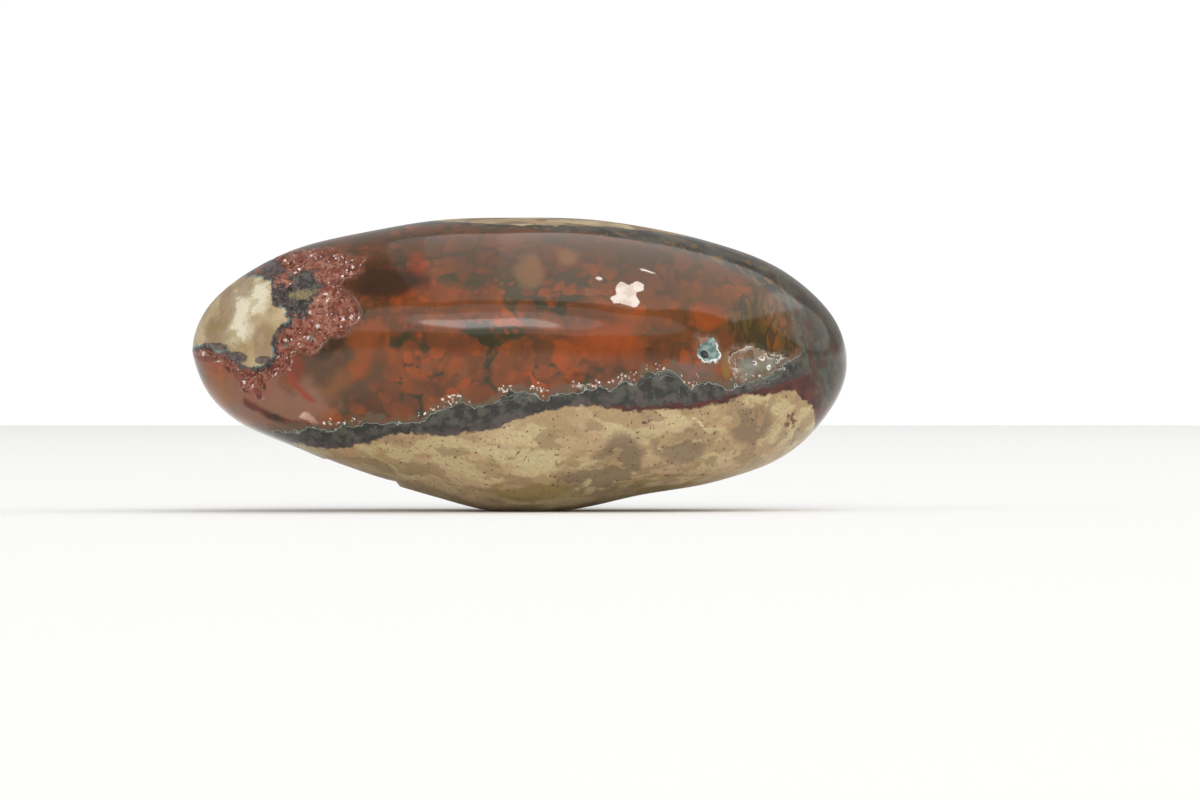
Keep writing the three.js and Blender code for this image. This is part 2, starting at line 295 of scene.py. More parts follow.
# Edges that run along the whole stone, each as heights z at places x
edges = dict(
    seamTop=[
        (-9.37, 2.05), (-8.1, 2.28), (-6.37, 2.4), (-5.79, 2.51), (-5.07, 2.46), (-4.49, 2.63),
        (-3.91, 2.72), (-3.48, 2.6), (-2.78, 2.63), (-2.17, 3.06), (-1.6, 3.18), (-1.22, 3.03),
        (-0.73, 3.15), (-0.5, 3.38), (-0.15, 3.53), (0.43, 3.5), (0.8, 3.32), (1.15, 3.47),
        (1.73, 3.55), (2.3, 3.61), (2.65, 3.55), (2.94, 3.73), (3.35, 3.79), (3.61, 4.08), (3.89, 4.02),
        (4.27, 4.16), (4.62, 3.96), (4.91, 3.58), (5.14, 3.79), (5.54, 3.84), (5.83, 3.61), (6.35, 3.7),
        (6.7, 3.84), (7.22, 4.02), (7.65, 4.25), (8.0, 4.6), (8.26, 4.88), (9.5, 5.2),
    ],
    seamLow=seamFoot + [
        (2.3, 3.09), (3.03, 3.01), (3.75, 3.01), (4.62, 3.09), (5.2, 3.15), (6.06, 3.32),
        (6.78, 3.47), (7.36, 3.64), (7.94, 3.84), (8.43, 4.02), (9.5, 4.2),
    ],
    redLow=seamFoot + [
        (2.3, 3.06), (3.03, 2.89), (3.75, 2.92), (4.62, 2.95), (5.2, 3.01), (6.06, 3.18), (6.5, 3.38),
        (6.93, 3.32), (7.36, 3.41), (7.94, 3.5), (8.09, 3.27), (8.52, 2.98), (8.84, 2.86), (9.5, 3.2),
    ],
    # the far wall of the vein, where a brown seam and then rock follow over the top and behind
    farSeam=[
        (-9.5, 9.3), (-3.0, 8.9), (-1.45, 8.5), (-0.01, 8.36), (1.15, 8.15), (2.3, 7.98), (3.46, 7.86),
        (4.62, 7.65), (5.77, 7.25), (6.64, 6.9), (7.28, 6.5), (7.68, 6.1), (9.5, 4.8),
    ],
    farRock=[
        (-9.5, 9.6), (-3.0, 9.4), (-1.74, 8.85), (0.0, 8.5), (1.15, 8.5), (2.3, 8.6), (3.46, 8.75),
        (5.77, 9.0), (7.28, 8.6), (9.5, 7.5),
    ],
)
# the patches end behind the stone's widest line, at a wavy edge
backEdge = dict(y=0.7, waves=[(0.4, 1.9, 1.3), (0.25, 3.7, 2.9), (0.12, 7.1, 6.3)])
# the vein is a slab between two walls that dip to the back, each from its own y
vein = dict(dip=0.6, nearFrom=-1.0, farFrom=-2.0)
fieldReach = 3  # patches and zones count no further than this from their edges


def smoothStep(value, low, high):
    share = np.clip((value - low) / (high - low), 0, 1)
    return share * share * (3 - 2 * share)


def closedCurve(points, count, steps=60):  # a smooth closed curve through points, evenly spaced
    knots = np.array(points)
    number = len(knots)
    samples = []
    for i in range(number):
        a, b, c, d = [knots[(i + k) % number] for k in (-1, 0, 1, 2)]
        before, here, after = [
            np.linalg.norm(end - start) ** 0.5 for start, end in ((a, b), (b, c), (c, d))]
        into = ((b - a) / before - (c - a) / (before + here) + (c - b) / here) * here
        out = ((c - b) / here - (d - b) / (here + after) + (d - c) / after) * here
        t = np.linspace(0, 1, steps, endpoint=False)[:, None]
        samples.append(b + into * t + (3 * (c - b) - 2 * into - out) * t ** 2
                       + (2 * (b - c) + into + out) * t ** 3)
    path = np.concatenate(samples + [samples[0][:1]])
    walked = np.concatenate([[0], np.cumsum(np.linalg.norm(np.diff(path, axis=0), axis=1))])
    places = np.linspace(0, walked[-1], count, endpoint=False)
    return np.stack([np.interp(places, walked, path[:, k]) for k in (0, 1)], axis=1)


def insideDistance(outline, across, up):  # how far inside a closed outline, and below 0 outside it
    nearest = np.full(len(across), np.inf)
    inside = np.zeros(len(across), bool)
    for (x1, z1), (x2, z2) in zip(outline, outline[1:] + outline[:1]):
        dx, dz = x2 - x1, z2 - z1
        share = np.clip(((across - x1) * dx + (up - z1) * dz) / (dx * dx + dz * dz), 0, 1)
        nearest = np.minimum(nearest, np.hypot(across - x1 - share * dx, up - z1 - share * dz))
        if dz:
            inside ^= ((z1 > up) != (z2 > up)) & (across < x1 + (up - z1) * dx / dz)
    return np.where(inside, nearest, -nearest)


def ripple(x, y, z):  # long shallow waves, between -1 and 1, as hand polishing leaves them
    (a, b), (c, d, start) = stone["waves"]
    return np.sin(a * x + b * z) * np.cos(c * x + d * y + start)


def shapeStone():
    deselectAll()
    bpy.ops.mesh.primitive_uv_sphere_add(segments=stone["segments"], ring_count=stone["rings"], radius=1)
    ball = bpy.context.object
    ball.name = "polished_stone"
    bpy.ops.object.mode_set(mode="EDIT")
    bpy.ops.transform.rotate(value=math.radians(90), orient_axis="X", center_override=(0, 0, 0))
    bpy.ops.object.mode_set(mode="OBJECT")
    unit = np.empty(len(ball.data.vertices) * 3)
    ball.data.vertices.foreach_get("co", unit)
    unit = unit.reshape(-1, 3)
    # each meridian of the ball becomes a spoke from the middle to one place of the outline
    outline = [(a * stone["length"] / 2, b * stone["height"]) for a, b in stone["outline"]]
    rim = closedCurve(outline, stone["rimSteps"])
    turn = (np.arctan2(unit[:, 2], -unit[:, 0]) / (2 * math.pi)) % 1 * len(rim)
    lower = turn.astype(int) % len(rim)
    part = (turn - turn.astype(int))[:, None]
    rimPoint = rim[lower] * (1 - part) + rim[(lower + 1) % len(rim)] * part
    middle = stone["height"] / 2
    lowness = smoothStep(middle - rimPoint[:, 1], 0, middle)
    plump = stone["fullTop"] + (stone["fullUnderside"] - stone["fullTop"]) * lowness
    depth = np.arcsin(np.clip(unit[:, 1], -1, 1))
    spread = np.cos(depth) ** plump
    x = rimPoint[:, 0] * spread
    z = middle + (rimPoint[:, 1] - middle) * spread
    bent = np.clip((x - stone["bendStart"]) / (stone["length"] / 2 - stone["bendStart"]), 0, None)
    y = stone["halfDepth"] * np.sign(depth) * np.abs(np.sin(depth)) ** plump
    y = y + stone["setBack"] * bent ** 2
    swell = 1 + stone["waveHeight"] * ripple(x, y, z) / stone["halfDepth"]
    y = y * swell
    z = middle + (z - middle) * swell
    return ball, np.stack([x, y, z], axis=1)


def setPlaces(piece, places):  # places in millimetres
    piece.data.vertices.foreach_set("co", (places * mm).ravel())
    piece.data.update()


def normalsOf(piece):
    normals = np.empty(len(piece.data.vertices) * 3)
    piece.data.vertices.foreach_get("normal", normals)
    return normals.reshape(-1, 3)


stonePiece, places = shapeStone()
setPlaces(stonePiece, places)
normals = normalsOf(stonePiece)
if (normals * (places - (0, 0, stone["height"] / 2))).sum() < 0:  # its faces point inwards
    bpy.ops.object.mode_set(mode="EDIT")
    bpy.ops.mesh.select_all(action="SELECT")
    bpy.ops.mesh.flip_normals()
    bpy.ops.object.mode_set(mode="OBJECT")
    normals = normalsOf(stonePiece)
print("the stone has its rounded form")

x, y, z = places.T
inFront = backEdge["y"] - y + sum(
    height * np.sin(along * x + up * z) for height, along, up in backEdge["waves"])
fields = {name: insideDistance(outline, x, z) for name, outline in patches.items()}
for name, ovals in zones.items():  # 1 in the middle of an oval and 0 at its rim
    fields[name] = np.max([1 - ((x - a) / c) ** 2 - ((z - b) / d) ** 2 for a, b, c, d in ovals], axis=0)
for name, value in fields.items():
    fields[name] = np.clip(np.minimum(value, inFront), -fieldReach, fieldReach)
nearHeight = z + vein["dip"] * np.clip(y - vein["nearFrom"], 0, None)
farHeight = z + vein["dip"] * (y - vein["farFrom"])
for name, line in edges.items():
    edge = np.interp(x, *np.transpose(line))
    fields[name] = farHeight - edge if name.startswith("far") else edge - nearHeight
fields["height"] = z

sunk = stone["hollowDepth"] * smoothStep(fields["hollow"], *stone["hollowEdge"])
for px, pz, width, depth in stone["pockets"]:
    away = np.hypot(x - px, z - pz) / (width / 2)
    pocket = depth * np.clip(1 - away ** 2, 0, None)
    sunk = np.maximum(sunk, np.where(y < stone["pocketsBack"], pocket, 0))
places = places - normals * sunk[:, None]
inChip = smoothStep(insideDistance(stone["chip"], places[:, 0], places[:, 1]), *stone["chipEdge"])
inChip = inChip * (places[:, 2] < stone["chipTop"])
lift = (places[:, 0] - stone["chipHinge"]) * math.sin(math.radians(stone["chipTurn"]))
places[:, 2] += inChip * np.clip(lift, 0, None)
places[:, 2] = np.clip(places[:, 2], 0, None)
middle = (places.max(0) + places.min(0)) / 2
places[:, :2] -= middle[:2]
places = places * stone["shrink"]
setPlaces(stonePiece, places)
for name, field in fields.items():
    stonePiece.data.attributes.new(name, "FLOAT", "POINT").data.foreach_set("value", field)
deselectAll()
stonePiece.select_set(True)
bpy.context.view_layer.objects.active = stonePiece
bpy.ops.object.shade_smooth()
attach(stonePiece, "root")
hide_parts("fire_opal")
print("the stone is shaped:", len(stonePiece.data.polygons), "faces")


# the stone's surface is one material, painted layer over layer, and its patterns are in millimetres
stoneMaterial, tree = newMaterial("polishedFireOpalInRock")
texture = addNode(tree, "ShaderNodeTexCoord", output="Object")
place = addNode(tree, "ShaderNodeVectorMath", {0: texture, "Scale": 1 / mm}, operation="SCALE")
field = {name: addNode(tree, "ShaderNodeAttribute", output="Fac", attribute_name=name)
         for name in fields}


def wandered(place, size, reach):  # the same place, moved about by up to reach in patches of size
    noise = addNode(tree, "ShaderNodeTexNoise", {"Vector": place, "Scale": 1 / size, "Detail": 2.0},
                    output="Color")
    centred = addNode(tree, "ShaderNodeVectorMath", {0: noise, 1: (0.5, 0.5, 0.5)}, operation="SUBTRACT")
    return addNode(tree, "ShaderNodeVectorMath", {0: centred, 1: (2 * reach,) * 3, 2: place},
                   operation="MULTIPLY_ADD")


def noiseMask(size, low, high, stretch=(1, 1, 1), detail=3.0, start=None):  # patches of about size
    scaled = addNode(tree, "ShaderNodeVectorMath",
                     {0: start or place, 1: tuple(1 / (size * s) for s in stretch)}, operation="MULTIPLY")
    noise = addNode(tree, "ShaderNodeTexNoise", {"Vector": scaled, "Scale": 1.0, "Detail": detail})
    return addNode(tree, "ShaderNodeMapRange", {"Value": noise, "From Min": low, "From Max": high},
                   interpolation_type="SMOOTHSTEP")


def spotMask(size, share, radius, start=None):  # round spots in some of the cells of a random net
    cell = addNode(tree, "ShaderNodeTexVoronoi", {"Vector": start or place, "Scale": 1 / size})
    chance = addNode(tree, "ShaderNodeSeparateColor", {0: cell.node.outputs["Color"]})
    chosen = addNode(tree, "ShaderNodeMath", {0: chance, 1: share}, operation="LESS_THAN")
    near = addNode(tree, "ShaderNodeMapRange",
                   {"Value": cell, "From Min": radius * 1.3, "From Max": radius * 0.7})
    return addNode(tree, "ShaderNodeMath", {0: near, 1: chosen}, operation="MULTIPLY")


def edgeMask(value, edge, soft):  # 1 over the edge, or under it when soft is below 0
    return addNode(tree, "ShaderNodeMapRange",
                   {"Value": value, "From Min": edge - soft, "From Max": edge + soft},
                   interpolation_type="SMOOTHSTEP")


def lineMask(value, middle, halfWidth):  # 1 on a thin line where the value is near the middle
    away = addNode(tree, "ShaderNodeMath", {0: value, 1: middle}, operation="SUBTRACT")
    away = addNode(tree, "ShaderNodeMath", {0: away}, operation="ABSOLUTE")
    return addNode(tree, "ShaderNodeMapRange",
                   {"Value": away, "From Min": halfWidth * 1.5, "From Max": halfWidth * 0.5})


def added(total, *parts):  # the total and each part's value times its amount
    for value, amount in parts:
        if amount:
            total = addNode(tree, "ShaderNodeMath", {0: value, 1: amount, 2: total},
                            operation="MULTIPLY_ADD")
    return total


def layOver(under, masks, **over):  # colour, roughness and relief in mm, where all masks are 1
    mask = masks[0]
    for other in masks[1:]:
        mask = addNode(tree, "ShaderNodeMath", {0: mask, 1: other}, operation="MULTIPLY")
    for name, value in over.items():
        kind = "RGBA" if name == "colour" else "FLOAT"
        under[name] = addNode(tree, "ShaderNodeMix", {"Factor": mask, "A": under[name], "B": value},
                              data_type=kind)


# edges of the patches are ragged at two sizes, in millimetres
raggedCoarse, raggedFine = [
    addNode(tree, "ShaderNodeMath", {0: noiseMask(size, 0.0, 1.0), 1: 0.5}, operation="SUBTRACT")
    for size in (0.7, 0.2)]


def ragged(name, coarse, fine=0.0):
    return added(field[name], (raggedCoarse, coarse), (raggedFine, fine))


# Fire opal is glassy, and its orange lumps lie at different depths in clear brown opal.
# It takes a wet-looking polish.
opalLook = dict(
    gapDark="#38321C", gapWarm="#4A3C22", roughness=0.07, relief=0.01,
    # lumps from the deepest up: size in mm, least and extra reach, blur, opacity, first tone
    lumps=[
        (1.2, 0.34, 0.36, 0.07, 0.7, 0.0), (0.72, 0.3, 0.4, 0.08, 0.75, 0.1),
        (0.44, 0.1, 0.46, 0.09, 0.6, 0.2), (0.26, 0.04, 0.42, 0.14, 0.4, 0.35),
    ],
    lumpColours=[
        (0.0, "#46281A"), (0.22, "#5C361E"), (0.42, "#6E3C20"), (0.62, "#7E421F"), (0.78, "#90481C"),
        (0.9, "#B04C16"), (1.0, "#785030"),
    ],
    # what the lumps' reach gains where they are crowded, above upperFrom, and where they are sparse
    crowdedReach=0.06, upperReach=-0.1, upperFrom=6.3, sparseReach=-0.2, dendrite="#2E2818",
)
# soft clouds of colour in the opal, each laid by the zone of that name
opalClouds = [
    # the first cloud is painted reflection over the top of the opal; the others are the opal's own colour
    ("paintedUpperReflection", "#563A24", 0.7), ("rightWarm", "#6C4218", 0.4),
    ("bright", "#A84810", 0.4), ("ochre", "#5C4A1E", 0.6), ("tanSpot", "#8A6038", 0.6),
    ("clearLow", "#583E28", 0.85), ("smoky", "#906650", 0.85), ("redSpot", "#96381A", 0.6),
    ("leftOrange", "#925A28", 0.7), ("pinkish", "#8E5848", 0.6), ("agateHaze", "#70605A", 0.6),
    ("ochreVein", "#8A6626", 0.8),
]
# the clear brown places, and the flames and streaks in them: how ragged and how soft their edges are,
# and two colours
opalPatches = [
    ("clearTop", 0.5, 0.3, "#301A0C", "#402512"),
    ("clearMid", 0.3, 0.15, "#3A2614", "#4A331C"),
    ("flameTall", 0.4, 0.2, "#94481C", "#7C4420"),
    ("flameLow", 0.4, 0.25, "#80502A", "#74461F"),
    ("vein", 0.3, 0.16, "#7E321E", "#74381F"),
    ("veinCore", 0.16, 0.09, "#A83C24", "#80341E"),
    ("redStreak", 0.15, 0.06, "#3A1C0C", "#80301E"),
    # the glassy chip's two pale colours are a painted glint
    ("paintedChipGlint", 0.1, 0.04, "#EAD8CC", "#C08E7C"),
]


def paintOpal():
    look = opalLook
    skin = dict(colour=look["gapDark"], roughness=look["roughness"], relief=0.0)
    layOver(skin, [noiseMask(1.6, 0.35, 0.65)], colour=look["gapWarm"])
    hue = noiseMask(1.3, 0.3, 0.7)
    crowded = edgeMask(field["merged"], 0.3, 0.6)
    upper = edgeMask(field["height"], look["upperFrom"], 0.8)
    sparse = edgeMask(ragged("sparse", 1.4, 0.8), 0.3, 0.3)
    loose = wandered(wandered(place, 1.5, 0.4), 0.35, 0.09)
    for size, least, extra, blur, opacity, firstTone in look["lumps"]:
        cell = addNode(tree, "ShaderNodeTexVoronoi",
                       {"Vector": loose, "Scale": 1 / size, "Exponent": 3.0}, distance="MINKOWSKI")
        chance = addNode(tree, "ShaderNodeSeparateColor", {0: cell.node.outputs["Color"]})
        short = added(least, (chance, extra), (crowded, look["crowdedReach"]),
                      (upper, look["upperReach"]), (sparse, look["sparseReach"]), (cell, -1.0))
        tone = added(firstTone, (chance.node.outputs["Green"], 0.6 - firstTone / 2), (hue, 0.4))
        lump = addNode(tree, "ShaderNodeValToRGB", {"Fac": tone}, stops=look["lumpColours"])
        layOver(skin, [edgeMask(short, 0.0, blur), opacity], colour=lump)
    for name, colour, opacity in opalClouds:
        layOver(skin, [edgeMask(ragged(name, 1.2), 0.3, 0.5), opacity], colour=colour)
    for name, coarse, soft, one, other in opalPatches:
        patch = dict(colour=one)
        layOver(patch, [hue], colour=other)
        layOver(skin, [edgeMask(ragged(name, coarse, 0.1), 0.0, soft)], **patch)
    branches = lineMask(noiseMask(0.5, 0.0, 1.0, stretch=(0.5, 1, 1.8)), 0.5, 0.08)
    layOver(skin, [branches, edgeMask(ragged("ochre", 0.8), 0.1, 0.3), 0.6], colour=look["dendrite"])
    layOver(skin, [noiseMask(2.5, 0.3, 0.7, detail=1.0)], relief=look["relief"])
    return skin


# Rhyolite is a fine-grained rock in tan, cream and olive, polished to a dull gloss.
rockLook = dict(
    tan="#C2A47E", paleTan="#CCB48A", low="#7A6644", grit="#8A7050", speck="#5A4038",
    crack="#E0D4B0", roughness=0.3, relief=0.004,
    # dark specks: size of the net they lie in, in mm, share of it that has one, and radius in its cells
    specks=[(0.12, 0.4, 0.22), (0.2, 0.24, 0.2)],
)
# zone or None, colour, patch size, thresholds, stretch along x, opacity
rockMottles = [
    ("pinkBand", "#B48A6C", 1.0, 0.3, 0.5, 2.0, 0.8),
    ("orangeTan", "#B4844C", 0.8, 0.3, 0.6, 2.0, 0.7),
    ("rightRock", "#9E7C50", 0.9, 0.3, 0.55, 1.5, 0.8),
    (None, "#AE9268", 0.8, 0.46, 0.54, 1.8, 0.8),
    (None, "#D0BE8E", 0.7, 0.5, 0.58, 2.0, 0.7),
    (None, "#9C8460", 0.5, 0.53, 0.59, 1.8, 0.75),
    ("greyMottle", "#7E6A52", 0.6, 0.43, 0.5, 1.4, 0.8),
    ("creamStreak", "#D0C092", 0.6, 0.42, 0.5, 2.6, 0.85),
    ("oliveRock", "#8C7638", 0.7, 0.4, 0.5, 2.0, 0.8),
    ("maroonSpot", "#5A2C22", 0.16, 0.46, 0.54, 1.0, 0.9),
]


def paintRock(skin, outside, tan=rockLook["tan"], paleTan=rockLook["paleTan"]):
    look = rockLook
    rock = dict(colour=tan, roughness=look["roughness"], relief=0.0)
    layOver(rock, [noiseMask(1.2, 0.4, 0.6)], colour=paleTan)
    for name, tint, size, low, high, stretch, opacity in rockMottles:
        mottle = [noiseMask(size, low, high, stretch=(stretch, 1, 1)), opacity]
        if name:
            mottle.append(edgeMask(ragged(name, 1.0), 0.2, 0.4))
        layOver(rock, mottle, colour=tint)
    # the rock is painted a little darker near the bottom, where it stands on the floor
    layOver(rock, [edgeMask(ragged("height", 1.0), 0.35, -0.3), 0.2], colour=look["low"])
    layOver(rock, [noiseMask(0.1, 0.35, 0.65, detail=4.0), 0.25], colour=look["grit"])
    loose = wandered(place, 0.5, 0.2)
    for size, share, radius in look["specks"]:
        layOver(rock, [spotMask(size, share, radius, start=loose),
                       edgeMask(ragged("redLow", -0.9), -0.75, 0.35), 0.85], colour=look["speck"])
    layOver(rock, [edgeMask(ragged("rockCrack", 0.0, 0.06), 0.0, 0.02)], colour=look["crack"])
    layOver(rock, [noiseMask(0.12, 0.2, 0.8)], relief=look["relief"])
    layOver(skin, [outside], **rock)


# The seam is chalcedony, dark with manganese and iron, and it grew in round humps with thin pale rings.
seamLook = dict(
    dark="#302F29", grey="#535147", purple="#5A4C4A", halo="#70503F", olive="#605A40", line="#A2AAA0",
    spots="#7A877A", maroonDark="#3E1C14", maroon="#5C2A20", glints="#E8DACC", roughness=0.12,
    # the humps and the beads on them: width in mm, and how deep they scallop the edge
    humpSize=0.48, humpDepth=-0.22, beadSize=0.17, beadDepth=-0.14, lift=0.13,
    lineDepth=0.03, lineHalfWidth=0.011,
    # how far in the pale rings lie, half their width, and how strong they are
    rings=[(0.1, 0.008, 0.4), (0.2, 0.014, 0.25)],
)


def paintSeam(skin):
    look = seamLook
    hump = addNode(tree, "ShaderNodeTexVoronoi",
                   {"Vector": wandered(place, 0.4, 0.05), "Scale": 1 / look["humpSize"]})
    bead = addNode(tree, "ShaderNodeTexVoronoi", {"Vector": place, "Scale": 1 / look["beadSize"]})
    depth = added(look["lift"], (field["seamTop"], 1.0), (hump, look["humpDepth"]),
                  (bead, look["beadDepth"]))
    halo = dict(colour=look["halo"])
    layOver(halo, [noiseMask(0.25, 0.46, 0.56)], colour=look["olive"])
    nearSeam = added(depth, (raggedCoarse, 0.4), (raggedFine, 0.2))
    layOver(halo, [spotMask(0.12, 0.5, 0.3, start=wandered(place, 0.08, 0.05)),
                   edgeMask(ragged("whiteQuartz", 0.8), 0.0, 0.2)], colour=look["glints"])
    layOver(halo, [noiseMask(0.09, 0.46, 0.54), edgeMask(ragged("quartzKnot", 0.5), 0.1, 0.2)],
            colour=look["glints"])
    layOver(skin, [edgeMask(nearSeam, -0.2, 0.1), 0.85], **halo)
    seam = dict(colour=look["dark"], roughness=look["roughness"])
    layOver(seam, [noiseMask(0.3, 0.42, 0.58, detail=4.0)], colour=look["grey"])
    purple = dict(colour=look["purple"])
    layOver(purple, [noiseMask(0.4, 0.46, 0.58, detail=4.0)], colour=look["dark"])
    layOver(seam, [edgeMask(ragged("seamLow", 0.7, 0.3), -0.2, 0.2), 0.8], **purple)
    layOver(seam, [lineMask(depth, look["lineDepth"], look["lineHalfWidth"]),
                   noiseMask(0.3, 0.3, 0.42), 0.9], colour=look["line"])
    inHumps = edgeMask(ragged("humps", 0.8), 0.2, 0.3)
    for inward, halfWidth, strength in look["rings"]:
        layOver(seam, [lineMask(depth, inward, halfWidth), inHumps, strength], colour=look["line"])
    layOver(seam, [spotMask(0.08, 0.16, 0.22), noiseMask(0.5, 0.45, 0.55), 0.8], colour=look["spots"])
    layOver(skin, [edgeMask(depth, 0.0, 0.02)], **seam)
    maroon = dict(colour=look["maroonDark"])
    layOver(maroon, [noiseMask(0.4, 0.35, 0.65)], colour=look["maroon"])
    layOver(skin, [edgeMask(ragged("seamLow", 0.1, 0.2), 0.0, 0.05)], **maroon)


# The far wall of the vein has a brown and grey seam with ochre spots, and then rock painted a darker
# brown than the rock below.
topLook = dict(seam="#30261A", seamGrey="#4C483E", spots="#7A5A2C", rock="#6C5438", rockPale="#806644",
               roughness=0.12)


def paintTop(skin):
    look = topLook
    seam = dict(colour=look["seam"], roughness=look["roughness"])
    layOver(seam, [noiseMask(0.5, 0.35, 0.65, stretch=(1.5, 1, 1), detail=5.0)],
            colour=look["seamGrey"])
    layOver(seam, [noiseMask(0.35, 0.54, 0.64, detail=5.0), 0.6], colour=look["spots"])
    layOver(skin, [edgeMask(ragged("farSeam", 0.5, 0.15), 0.0, 0.14)], **seam)
    paintRock(skin, edgeMask(ragged("farRock", 0.3, 0.15), 0.0, 0.05), look["rock"], look["rockPale"])


# A crust of soft cream rock, finely pitted, with a dark rim that turns teal where crystals start.
creamLook = dict(
    shade="#B09670", middle="#C8B28C", light="#E4DABE", brown="#8E7252", mottle="#B29A70",
    pits="#7A6040", olive="#96824A", rim="#3A3434", rimPale="#625450", teal="#7E9A90",
    roughness=0.32, rimRoughness=0.2, relief=0.006,
)


def paintCream(skin):
    look = creamLook
    edge = ragged("cream", 0.25, 0.18)
    cream = dict(colour=look["shade"], roughness=look["roughness"], relief=0.0)
    layOver(cream, [noiseMask(0.7, 0.35, 0.65)], colour=look["middle"])
    layOver(cream, [edgeMask(ragged("creamLight", 0.5, 0.2), 0.05, 0.22)], colour=look["light"])
    layOver(cream, [edgeMask(ragged("creamBrown", 1.0, 0.6), 0.2, 0.35), 0.7], colour=look["brown"])
    layOver(cream, [noiseMask(0.3, 0.5, 0.62, detail=6.0), 0.5], colour=look["mottle"])
    layOver(cream, [noiseMask(0.5, 0.55, 0.62), 0.5], colour=look["olive"])
    loose = wandered(place, 0.5, 0.2)
    layOver(cream, [spotMask(0.11, 0.4, 0.24, start=loose), noiseMask(0.6, 0.4, 0.55), 0.75],
            colour=look["pits"])
    layOver(cream, [noiseMask(0.1, 0.3, 0.7)], relief=look["relief"])
    rim = dict(colour=look["rim"], roughness=look["rimRoughness"])
    layOver(rim, [noiseMask(0.16, 0.4, 0.6, detail=5.0)], colour=look["rimPale"])
    layOver(skin, [edgeMask(edge, -0.14, 0.06), noiseMask(0.5, 0.3, 0.45)], **rim)
    layOver(skin, [edgeMask(edge, 0.0, 0.03)], **cream)
    layOver(skin, [edgeMask(ragged("darkCrust", 0.8, 0.8), 0.2, 0.25), 0.9], **rim)
    layOver(skin, [lineMask(edge, -0.02, 0.03), noiseMask(0.7, 0.45, 0.55), 0.8], colour=look["teal"])


# The hollow's floor is salmon chalcedony under a frost of quartz points, with painted shade between them
# and painted glints on them.
hollowLook = dict(
    # deep is painted shade between the crust's crystals
    floor="#8E4C3A", floorPale="#BE806A", deep="#763E2E", dark="#38332F", darkPale="#665A54",
    # glints are painted highlights on the crust
    olive="#96865C", glints="#FFF0E8", teal="#6E8478", halo="#8E5442", fringe="#C49A88",
    roughness=0.08, haloRoughness=0.3, relief=0.11,
    glintNets=[(0.13, 0.24), (0.24, 0.22)],  # size of each net of glints in mm, share of it that shines
)


def paintHollow(skin):
    look = hollowLook
    edge = ragged("hollow", 0.25, 0.35)
    crust = dict(colour=look["floor"], roughness=look["roughness"], relief=0.0)
    layOver(crust, [noiseMask(0.25, 0.35, 0.65, detail=4.0)], colour=look["floorPale"])
    # painted shade: darker spots between the crystals of the crust
    layOver(crust, [noiseMask(0.2, 0.52, 0.62)], colour=look["deep"])
    loose = wandered(place, 0.09, 0.07)
    # painted glints: white specks standing for light caught by the crust's crystals
    for size, share in look["glintNets"]:
        layOver(crust, [spotMask(size, share, 0.24, start=loose)], colour=look["glints"])
    layOver(crust, [spotMask(0.35, 0.08, 0.24, start=loose), 0.8], colour=look["teal"])
    dark = dict(colour=look["dark"])
    layOver(dark, [noiseMask(0.18, 0.42, 0.6, detail=4.0)], colour=look["darkPale"])
    layOver(crust, [edgeMask(ragged("hollowDark", 0.45, 0.3), -0.06, 0.07)], **dark)
    layOver(crust, [edgeMask(ragged("hollowOlive", 0.2, 0.2), 0.0, 0.06)], colour=look["olive"])
    layOver(crust, [noiseMask(0.16, 0.3, 0.7)], relief=look["relief"])
    layOver(skin, [edgeMask(edge, -0.08, 0.1), 0.6],
            colour=look["halo"], roughness=look["haloRoughness"])
    layOver(skin, [edgeMask(edge, 0.02, 0.04)], **crust)
    layOver(skin, [lineMask(edge, 0.0, 0.02), noiseMask(0.4, 0.5, 0.6), 0.5], colour=look["fringe"])


# Agate filled two small gaps: clear grey-white, in cells with thin white skins, and rings.
agateLook = dict(
    cells=[(0.0, "#6C5642"), (0.3, "#8A7460"), (0.55, "#A6947C"), (0.8, "#8E8488"), (1.0, "#C4B69C")],
    cellSize=0.26, skin="#E4DACC", ochre="#96724A", green="#76806E", ring="#F4F2EC", ringSize=0.24,
    lump="#6C8480", lumpPale="#A2B6AE", lumpDark="#3C3C38", lumpTip="#96705C", lumpHalo="#7A5C4C",
    roughness=0.06,
)


